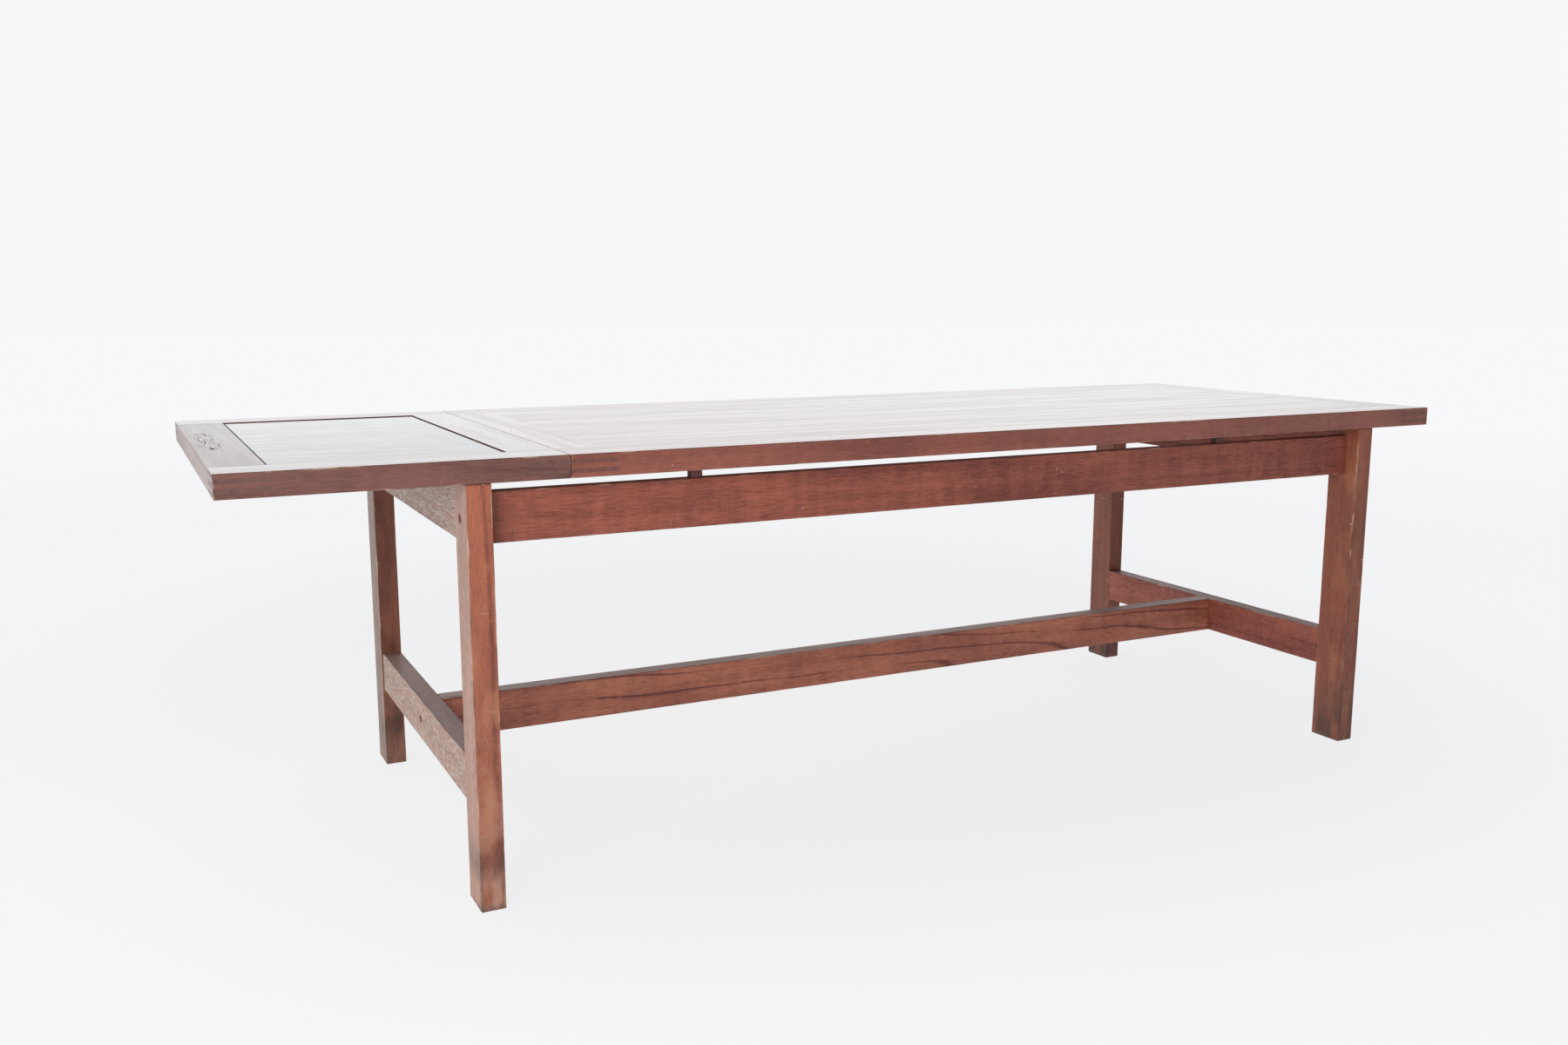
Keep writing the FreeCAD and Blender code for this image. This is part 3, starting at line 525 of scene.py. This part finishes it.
def drill(item, centre, axis, radius, length):
    """Cut a round hole that starts at centre and runs length up the axis."""
    points = cylinder_surface(centre, axis, radius, length)
    cutter = new_object(item.name + "_cutter", points, tube_faces(2, CUTTER_SIDES))
    cut = item.modifiers.new("hole", "BOOLEAN")
    cut.operation, cut.solver, cut.object = "DIFFERENCE", "EXACT", cutter
    bpy.context.view_layer.update()
    solid = item.evaluated_get(bpy.context.evaluated_depsgraph_get())
    mesh = bpy.data.meshes.new_from_object(solid)
    item.modifiers.clear()
    old, item.data = item.data, mesh
    bpy.data.meshes.remove(old)
    bpy.data.objects.remove(cutter)


print("the cutter has", CUTTER_SIDES, "sides")

# %% Even shading
SHARP_ANGLE = math.radians(35)
FLAT_WEIGHT = 80


def smooth_by_area(item):
    """Give large flats the say over the shading at rounded edges."""
    item.data.shade_smooth()
    item.data.set_sharp_from_angle(angle=SHARP_ANGLE)
    weigh = item.modifiers.new("even_shading", "WEIGHTED_NORMAL")
    weigh.keep_sharp = True
    weigh.weight = FLAT_WEIGHT


print("edges stay sharp above", round(math.degrees(SHARP_ANGLE)), "degrees")

# %% [markdown]
# ## The base
# Four legs, two long aprons, three stretchers and four spacer blocks are replaced by worn
# boards. Each board takes its place from the node that it stands for. The end aprons keep
# their own shape, because of the notches in their upper edges.

# %% Tools for the base boards
BASE_DARK = (0.130, 0.030, 0.021)
BASE_LIGHT = (0.370, 0.106, 0.064)
LEG_DARK = (0.145, 0.037, 0.024)
LEG_LIGHT = (0.385, 0.120, 0.063)
BLOCK_DARK = (0.05, 0.018, 0.014)
BLOCK_LIGHT = (0.14, 0.05, 0.035)
STRETCHER_LIGHT = (0.45, 0.158, 0.092)


def stand_in(node, axis, seed, radius=0.0013, strength=0.5):
    """A worn board in the place of a node, whose own mesh is hidden."""
    low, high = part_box(node)
    item = worn_board(node + "_worn", low, high, axis, radius, strength, seed)
    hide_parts(node)
    return item


def dress(item, node, grain, seed, body, **look):
    """Even shading, timber and body for a finished board."""
    smooth_by_area(item)
    item.data.materials.clear()
    item.data.materials.append(timber(item.name + "_timber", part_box(node), grain, seed, **look))
    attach(item, body)


BORE = 0.0075
BORE_DEPTH = 0.012


def bore_start(low, high, node):
    """Where a counterbore's cutter starts, along X: bolts go in from the table's ends."""
    return low.x - OVERSHOOT if "left" in node else high.x - BORE_DEPTH


print("base boards in two timbers: frame", BASE_LIGHT, "legs", LEG_LIGHT)

# %% Legs
bolt_low, bolt_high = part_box("leg_bolts")
BOLT_Z = (bolt_low.z + bolt_high.z) / 2
BOLT_Y = bolt_high.y - (bolt_high.z - bolt_low.z) / 2
# The second number scales each leg's wood colour: painted light and shade, lightest on the front
# left leg near the window and darkest on the back left leg under the leaf.
LEGS = {
    "leg_front_left": (11, 1.07, {"worn": 1.1, "bare": 0.4, "bleach": 0.55, "bare_foot": 0.8}),
    "leg_back_left": (12, 0.46, {"worn": 0.8, "bare": 0.1, "bleach": 0.45, "bare_foot": 0.2}),
    "leg_front_right": (13, 0.82, {"worn": 1.2, "bare": 0.25, "line": 0.15}),
    "leg_back_right": (14, 0.66, {"worn": 1.2, "bare": 0.1, "line": 0.15}),
}
for node, (seed, painted_light, look) in LEGS.items():
    leg = stand_in(node, "z", seed, 0.0014)
    low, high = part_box(node)
    mouth = (bore_start(low, high, node), math.copysign(BOLT_Y, low.y), BOLT_Z)
    drill(leg, mouth, "x", BORE, BORE_DEPTH + OVERSHOOT)
    dress(leg, node, "z", seed, "base", dark=[c * painted_light for c in LEG_DARK],
          light=[c * painted_light for c in LEG_LIGHT], foot=1.0, ripple=0.1, **look)
print("legs", len(LEGS))

# %% Long aprons
nut_low, nut_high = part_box("apron_nuts")
NUT_RADIUS = (nut_high.z - nut_low.z) / 2
NUT_HOLE = 0.0215
for node, seed in {"long_apron_front": 21, "long_apron_back": 22}.items():
    apron = stand_in(node, "x", seed, 0.0010)
    low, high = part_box(node)
    inner_start = high.y - NUT_HOLE if "front" in node else low.y - OVERSHOOT
    for x in (nut_low.x + NUT_RADIUS, nut_high.x - NUT_RADIUS):
        drill(apron, (x, inner_start, BOLT_Z), "y", NUT_RADIUS, NUT_HOLE + OVERSHOOT)
    dress(apron, node, "x", seed, "base", dark=BASE_DARK, light=BASE_LIGHT, rings=30.0,
          line=0.15, worn=0.6, ripple=0.45)
print("aprons carved")

# %% Stretchers
stretcher_bolt_low, stretcher_bolt_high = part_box("stretcher_bolts")
STRETCHER_Z = (stretcher_bolt_low.z + stretcher_bolt_high.z) / 2
for node, seed in {"end_stretcher_left": 31, "end_stretcher_right": 32}.items():
    board = stand_in(node, "y", seed)
    low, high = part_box(node)
    drill(board, (bore_start(low, high, node), 0.0, STRETCHER_Z), "x", BORE,
          BORE_DEPTH + OVERSHOOT)
    # Only the left end, towards the window, gets the painted sheen.
    dress(board, node, "y", seed, "base", dark=BASE_DARK, light=BASE_LIGHT, gloss=0.5,
          line=0.2, relief=0.0009, dust=0.75, bleach=0.8 if "left" in node else 0.0)
long_board = stand_in("long_stretcher", "x", 33)
back_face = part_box("long_stretcher")[1].y + OVERSHOOT
nut_low, nut_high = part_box("stretcher_nuts")
for x in (nut_low.x + NUT_RADIUS, nut_high.x - NUT_RADIUS):
    drill(long_board, (x, nut_low.y, STRETCHER_Z), "y", NUT_RADIUS, back_face - nut_low.y)
dress(long_board, "long_stretcher", "x", 33, "base", dark=BASE_DARK, light=STRETCHER_LIGHT,
      slope=0.10, rings=32.0, line=0.7, thin=30.0, worn=0.6, dust=0.7)
print("stretchers carved")

# %% Spacer blocks
SPACERS = sorted(n for n in nodes if n.startswith("spacer_") and "screw" not in n)
for seed, node in enumerate(SPACERS, 40):
    block = stand_in(node, "z", seed, 0.0008)
    dress(block, node, "x", seed, "base", dark=BLOCK_DARK, light=BLOCK_LIGHT)
print("spacers", len(SPACERS))

# %% [markdown]
# ## The top
# The rails keep their own meshes, so the finger joints at the corners are real: where a cross
# rail's fingers pass through a long rail, their end grain shows on the table's edge as dark
# bands. Only the finish changes. The top has been varnished more than the base, so it has a clear
# coat that mirrors a bright room at a low angle. The leaf is darker, and its outer rail is
# weathered and cracked round a knot; its face that looks left gets a painted sheen. Faces inside
# the box round the top or the leaf, such as the walls round the inset, are painted dark as shade.

# %% Finish for the rails and panels
TOP_DARK = (0.125, 0.033, 0.024)
TOP_LIGHT = (0.310, 0.094, 0.060)
LEAF_DARK = (0.092, 0.032, 0.028)
LEAF_LIGHT = (0.212, 0.086, 0.068)


def box_round(*names):
    """The box round several nodes, so that only their outer arrises wear; faces inside it, such
    as the walls round the inset, are painted dark as shade.
    """
    corners = [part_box(name) for name in names]
    return np.min([c[0] for c in corners], axis=0), np.max([c[1] for c in corners], axis=0)


def coat_node(node, material):
    """Give a CAD node its finish."""
    item = nodes[node]
    item.data.materials.clear()
    item.data.materials.append(material)


print("the leaf's light is", round(sum(LEAF_LIGHT) / sum(TOP_LIGHT), 2), "of the top's")

# %% Top and leaf
MAIN = ("top_rail_front", "top_rail_back", "top_rail_seam", "top_rail_end", "top_field")
LEAF = ("leaf_rail_front", "leaf_rail_back", "leaf_rail_end", "leaf_rail_seam")
rail_low, rail_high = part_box("leaf_rail_end")
KNOT_CENTRE = (rail_low.x + 0.0285, 0.02, rail_high.z)
KNOT_REACH = (0.024, 0.200, 0.010)
# The leaf's outer rail: weathered, cracked round a knot, and given a painted sheen on the face
# that looks left.
WEATHERED_WITH_SHEEN = {"bleach": 0.35, "relief": 0.00012, "gloss": 0.26, "coat": 0.6,
          "knot": (KNOT_CENTRE, KNOT_REACH)}
MAIN_LOOK = {"gloss": 0.15, "coat": 0.7, "relief": 0.00006}
LEAF_LOOK = {"gloss": 0.20, "coat": 0.9, "relief": 0.00007}
for group, first_seed, dark, light, look in ((MAIN, 51, TOP_DARK, TOP_LIGHT, MAIN_LOOK),
                                             (LEAF, 61, LEAF_DARK, LEAF_LIGHT, LEAF_LOOK)):
    for seed, node in enumerate(group, first_seed):
        grain = "y" if node.endswith(("seam", "end")) else "x"
        special = look | WEATHERED_WITH_SHEEN if node == "leaf_rail_end" else look
        coat_node(node, timber(node + "_timber", box_round(*group), grain, seed, dark, light,
                               worn=0.7, **special))
print("top boards", len(MAIN + LEAF), "knot at", [round(v, 3) for v in KNOT_CENTRE])

# %% End aprons
for node, seed in {"end_apron_left": 71, "end_apron_right": 72}.items():
    # Only the left end apron, towards the window, gets the painted sheen.
    coat_node(node, timber(node + "_timber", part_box(node), "y", seed, BASE_DARK, BASE_LIGHT,
                           relief=0.0016, bleach=0.85 if "left" in node else 0.0))
print("end aprons finished")

# %% [markdown]
# ## Bearers under the top
# Runners, lopers and stop blocks were never meant to be seen. They are plain sanded hardwood,
# paler and dry. The dowels and pegs are paler still.

# %% Plain hardwood for bearers, dowels and pegs
BEARER_DARK = (0.20, 0.105, 0.06)
BEARER_LIGHT = (0.42, 0.26, 0.155)
PEG_DARK = (0.42, 0.28, 0.16)
PEG_LIGHT = (0.62, 0.46, 0.29)


def nodes_in(slot):
    """The nodes whose material slot is this one."""
    return [node for node, own in slots.items() if own == slot]


for seed, node in enumerate(nodes_in("bearer_wood"), 80):
    coat_node(node, timber(node + "_timber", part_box(node), "x", seed, BEARER_DARK, BEARER_LIGHT,
                           gloss=0.6, coat=0.0, worn=0.4))
for seed, node in enumerate(nodes_in("dowel_wood"), 90):
    coat_node(node, timber(node + "_timber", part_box(node), "x", seed, PEG_DARK, PEG_LIGHT,
                           gloss=0.55, coat=0.0, worn=0.0))
print("bearers", len(nodes_in("bearer_wood")), "pegs", len(nodes_in("dowel_wood")))

# %% [markdown]
# ## The black inset
# The leaf carries a sheet of black laminate for hot dishes. Laminate is pressed against
# polished steel, so it is smooth but not flat: a faint orange-peel ripple bends reflections,
# wiping leaves hair-fine marks along it, and dust makes it greyer in places. A dark line of dirt
# fills the last few millimetres, where a cloth doesn't reach.

# %% Laminate
BLACK = colour(0.010, 0.010, 0.012)
WIPED = colour(0.034, 0.035, 0.040)
HAIR_MARK = colour(0.16, 0.16, 0.17)
DIRT = colour(0.018, 0.014, 0.012)


def laminate(name, box):
    """Black laminate: wiped streaks, hair-fine marks, and dirt along the box's edges."""
    tree = material_tree(name)
    place = tree.place()
    streak = tree.noise(tree.vector("MULTIPLY", place, (9.0, 190.0, 9.0)), 1.0, 4.0, 0.65)
    cloud = tree.noise(place, 6.0, 3.0)
    hair = tree.noise(tree.vector("MULTIPLY", place, (30.0, 900.0, 30.0)), 1.0, 1.0)
    marks = hair.ramp(0.70, 0.76) * cloud.ramp(0.45, 0.6)
    wiped = streak.ramp(0.35, 0.65)
    base = tree.mix(wiped * 0.6, BLACK, WIPED)
    base = tree.mix(marks * 0.4, base, HAIR_MARK)
    border = 1.0 - block_distances(tree, place, *box)[1].ramp(0.0015, 0.0030)
    base = tree.mix(border, base, DIRT)
    rough = (wiped * 0.05 + cloud * 0.05 + marks * 0.25 + border * 0.6 + 0.02).least(0.8)
    polish = (wiped * -0.40 + marks * -0.3 + 0.53) * (1.0 - border)
    return tree.finish(base, rough, [(tree.noise(place, 55.0, 2.0), 0.05, 0.0010)], IOR=1.5,
                       Coat_Weight=polish, Coat_Roughness=0.04)


print("laminate mixed")

# %% Inset sheet
low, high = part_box("leaf_insert")
sheet = worn_board("leaf_insert_sheet", low, high, "x", 0.0006, 0.2, 81)
smooth_by_area(sheet)
sheet.data.materials.append(laminate("black_laminate", (low, high)))
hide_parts("leaf_insert")
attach(sheet, "leaf")
print("inset sheet", [round(v, 4) for v in (high - low)])

# %% [markdown]
# ## Metal
# Zinc-plated steel bolts have gone dull, and brass screws brown. A metal's colour is its
# reflection, so the noise goes into roughness first and into colour second.

# %% Steel and brass
def metal(name, clean, dull, rough):
    """Turned metal: stains mix the dull colour in, and fine rings roughen it."""
    tree = material_tree(name)
    place = tree.place()
    stain = tree.noise(place, 260.0, 4.0, 0.7)
    turned = tree.noise(tree.vector("MULTIPLY", place, (900.0, 120.0, 900.0)), 1.0, 2.0)
    base = tree.mix(stain.ramp(0.35, 0.65), colour(*clean), colour(*dull))
    return tree.finish(base, turned * 0.2 + stain * 0.15 + rough, [(turned, 0.2, 0.0003)],
                       Metallic=1.0)


steel = metal("dull_zinc", (0.52, 0.51, 0.49), (0.22, 0.20, 0.18), 0.25)
brass = metal("brown_brass", (0.62, 0.46, 0.22), (0.26, 0.17, 0.08), 0.22)
for slot, material in {"bolt_steel": steel, "screw_brass": brass}.items():
    for node in nodes_in(slot):
        coat_node(node, material)
print("steel", len(nodes_in("bolt_steel")), "brass", len(nodes_in("screw_brass")))

# %% [markdown]
# ## Studio
# The table stands on a plain pale floor in a bright room. The floor is made of a material that
# glows a little, so that shadows stay as faint as they are in a white studio, and its glow is
# dimmer under the table: a painted shadow. It fades to the colour of the room in the distance,
# which hides the horizon.

# %% Floor
FLOOR_CENTRE = (0.2, 0.8, 0.0)
FLOOR_HALF = 30.0
# The dimmer glow under the table is a painted shadow.
SHADOW_UNDER_TABLE = colour(0.800, 0.802, 0.813)
ROUND_TABLE = colour(0.835, 0.840, 0.858)
FAR_AWAY = colour(0.882, 0.886, 0.900)
PAINTED = colour(0.10, 0.10, 0.10)


def glowing_floor(name):
    """A glow that grows with the distance from a point under the table; the dimmer glow there is
    a painted shadow.
    """
    tree = material_tree(name)
    away = tree.vector("SUBTRACT", tree.place(), FLOOR_CENTRE)
    far = tree.add("ShaderNodeVectorMath", {"operation": "LENGTH"}, {0: away}, "Value")
    glow = tree.mix(far.ramp(1.0, 2.4), SHADOW_UNDER_TABLE, ROUND_TABLE)
    glow = tree.mix(far.ramp(3.0, 8.0), glow, FAR_AWAY)
    return tree.finish(PAINTED, 0.7, (), Emission_Strength=1.0, Emission_Color=glow,
                       Specular_IOR_Level=0.0)


corners = np.array([(x * FLOOR_HALF, y * FLOOR_HALF, 0.0) for x, y in CORNERS])
floor = new_object("studio_floor", corners, [[0, 1, 2, 3]])
floor.data.materials.append(glowing_floor("pale_floor"))
print("floor", FLOOR_HALF * 2, "m square")

# %% [markdown]
# ## Light
# A white room is not equally white all round: the wall behind the table is the brightest
# thing in it, and it is what the varnished top mirrors at a low angle. The dark side of the
# room is behind the viewer. The world's colour follows the direction to make that difference,
# while the camera itself sees plain paper white. One soft window at the front left adds the
# light that falls off along the table.

# %% World
BACK_WALL = (-0.32, 0.947, 0.0)
DARK_SIDE, BRIGHT_SIDE = 0.12, 1.20
ROOM_WHITE = colour(0.98, 0.99, 1.0)
PAPER = colour(0.935, 0.938, 0.955)

world = bpy.data.worlds.new("bright_room")
bpy.context.scene.world = world
room = Tree(world)
heading = room.add("ShaderNodeTexCoord", output="Generated")
facing = room.add("ShaderNodeVectorMath", {"operation": "DOT_PRODUCT"},
                  {0: heading, 1: BACK_WALL}, "Value")
wall = room.add("ShaderNodeMapRange", {"interpolation_type": "SMOOTHSTEP"},
                {"Value": facing, "From Min": -0.2, "From Max": 0.5, "To Min": DARK_SIDE,
                 "To Max": BRIGHT_SIDE})
lit = room.add("ShaderNodeBackground", None, {"Color": ROOM_WHITE, "Strength": wall})
seen = room.add("ShaderNodeBackground", None, {"Color": PAPER, "Strength": 1.0})
ray = room.add("ShaderNodeLightPath", output="Is Camera Ray")
mixed = room.add("ShaderNodeMixShader", None, {0: ray, 1: lit, 2: seen})
room.add("ShaderNodeOutputWorld", None, {"Surface": mixed})
print("world", len(world.node_tree.nodes), "nodes")


# %% Window
def soft_light(name, place, target, width, height, power):
    """A large rectangular light that faces a point and isn't seen itself."""
    data = bpy.data.lights.new(name, "AREA")
    data.shape, data.size, data.size_y, data.energy = "RECTANGLE", width, height, power
    item = bpy.data.objects.new(name, data)
    item.location = place
    away = np.array(target) - np.array(place)
    item.rotation_euler = (math.atan2(math.hypot(away[0], away[1]), -away[2]), 0.0,
                           math.atan2(-away[0], away[1]))
    item.visible_camera = False
    bpy.context.scene.collection.objects.link(item)
    return item


soft_light("left_window", place=(-2.5, -2.7, 1.4), target=(-0.4, 0.0, 0.45), width=2.4,
           height=1.7, power=90.0)
bpy.context.scene.view_settings.view_transform = "Standard"
